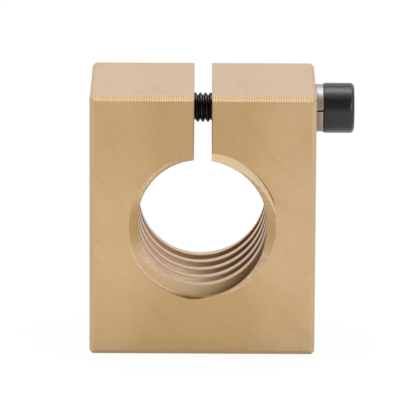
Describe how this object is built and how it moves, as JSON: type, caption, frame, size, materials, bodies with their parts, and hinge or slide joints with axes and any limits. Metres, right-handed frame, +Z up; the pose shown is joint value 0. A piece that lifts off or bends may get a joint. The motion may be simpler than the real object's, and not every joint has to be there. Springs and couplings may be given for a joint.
{
  "type": "lead screw nut",
  "caption": "Rectangular clamp-type nut for a lead screw: a threaded bore opened by a slot, drawn together by a socket cap screw on a spring washer.",
  "frame": {"origin": "on the axis of the lead thread, midway between the front and rear faces, which is the centre of the block", "axes": "+Y along the lead thread from the front face to the rear face, +X along the clamp screw toward its head, +Z up through the slot"},
  "size_m": [0.0524, 0.032, 0.0524],
  "materials": {
    "brass": "satin, milled",
    "black_steel": "black oxide, satin",
    "bright_steel": "bright, smooth"
  },
  "bodies": {
    "block": {"nut_block": "brass"},
    "washer": {"spring_washer": "bright_steel"},
    "screw": {"clamp_screw": "black_steel"}
  },
  "joints": [
    {"name": "screw_travel", "type": "slide", "parent": "block", "child": "washer", "axis": [1, 0, 0], "range_m": [0, 0.009]},
    {"name": "screw_turn", "type": "hinge", "parent": "washer", "child": "screw", "pos_m": [0.0239, 0, 0.0205], "axis": [1, 0, 0], "range_deg": [0, 3250]}
  ],
  "couplings": [
    {"joint": "screw_turn", "follows": "screw_travel", "rad_per_m": 6283.2}
  ]
}
